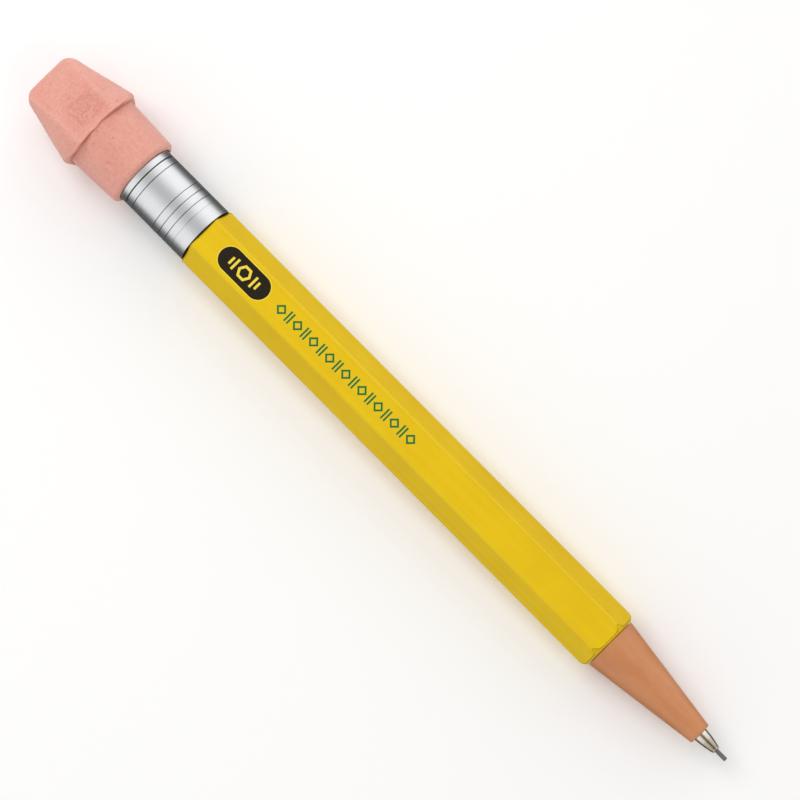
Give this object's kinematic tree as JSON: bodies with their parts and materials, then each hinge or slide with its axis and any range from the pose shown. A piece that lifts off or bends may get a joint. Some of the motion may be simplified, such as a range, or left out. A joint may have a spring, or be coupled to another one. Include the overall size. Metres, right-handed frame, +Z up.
{
  "type": "mechanical pencil",
  "caption": "Twist-feed mechanical pencil in the shape of a hexagonal wood pencil, with a ringed metal ferrule, a wedge cap eraser, a tan nose cone and a thin lead.",
  "frame": {"origin": "under the middle of the pencil's length, on the lowest line of the cap eraser's flange; the pencil's axis is 6.9 mm above it", "axes": "+X along the pencil towards the lead, +Z up out of the printed top flat, +Y to the left when looking towards the tip"},
  "size_m": [0.1548, 0.0156, 0.0138],
  "materials": {
    "barrel_paint": "glossy yellow, with a printed badge and an ornament line on the top flat",
    "nose_plastic": "satin tan with faint lengthwise streaks",
    "tip_metal": "turned nickel-plated metal",
    "ferrule_aluminium": "bright rolled aluminium, brushed round the axis",
    "cap_rubber": "dull pink vinyl rubber with fine pits",
    "end_eraser_rubber": "dull pink vinyl rubber",
    "graphite": "dark grey polymer-bonded graphite with a soft sheen",
    "brass": "drawn brass",
    "steel": "plain spring steel",
    "bearing_plastic": "natural white acetal",
    "inner_plastic": "grey moulded plastic",
    "seal_rubber": "black nitrile rubber"
  },
  "bodies": {
    "barrel": {"hex_barrel": "barrel_paint", "nose_cone": "nose_plastic", "metal_tip": "tip_metal", "lead_retainer": "seal_rubber", "guide_tube": "brass", "rear_bearing": "bearing_plastic", "front_bearing": "bearing_plastic"},
    "drive": {"ferrule": "ferrule_aluminium", "ferrule_core": "inner_plastic", "thrust_washer": "steel", "spindle_tube": "inner_plastic", "spring_clip": "steel", "drag_ring": "seal_rubber", "helix_sleeve": "bearing_plastic", "spare_lead_1": "graphite", "spare_lead_2": "graphite", "spare_lead_3": "graphite"},
    "eraser_plug": {"end_eraser": "end_eraser_rubber"},
    "cap": {"cap_eraser": "cap_rubber"},
    "feed": {"lead_carrier": "bearing_plastic", "push_rod": "steel", "lead_claw": "brass", "writing_lead": "graphite"}
  },
  "joints": [
    {"name": "twist", "type": "hinge", "parent": "barrel", "child": "drive", "pos_m": [-0.04027, 0, 0.0069], "axis": [1, 0, 0], "range_deg": [-180, 1440]},
    {"name": "lead_feed", "type": "slide", "parent": "barrel", "child": "feed", "axis": [1, 0, 0], "range_m": [-0.00255, 0.02005]},
    {"name": "eraser_pull", "type": "slide", "parent": "drive", "child": "eraser_plug", "axis": [-1, 0, 0], "range_m": [0, 0.0065]},
    {"name": "cap_pull", "type": "slide", "parent": "eraser_plug", "child": "cap", "axis": [-1, 0, 0], "range_m": [0, 0.015]}
  ],
  "couplings": [
    {"joint": "lead_feed", "follows": "twist", "m_per_rad": 0.00079577}
  ]
}
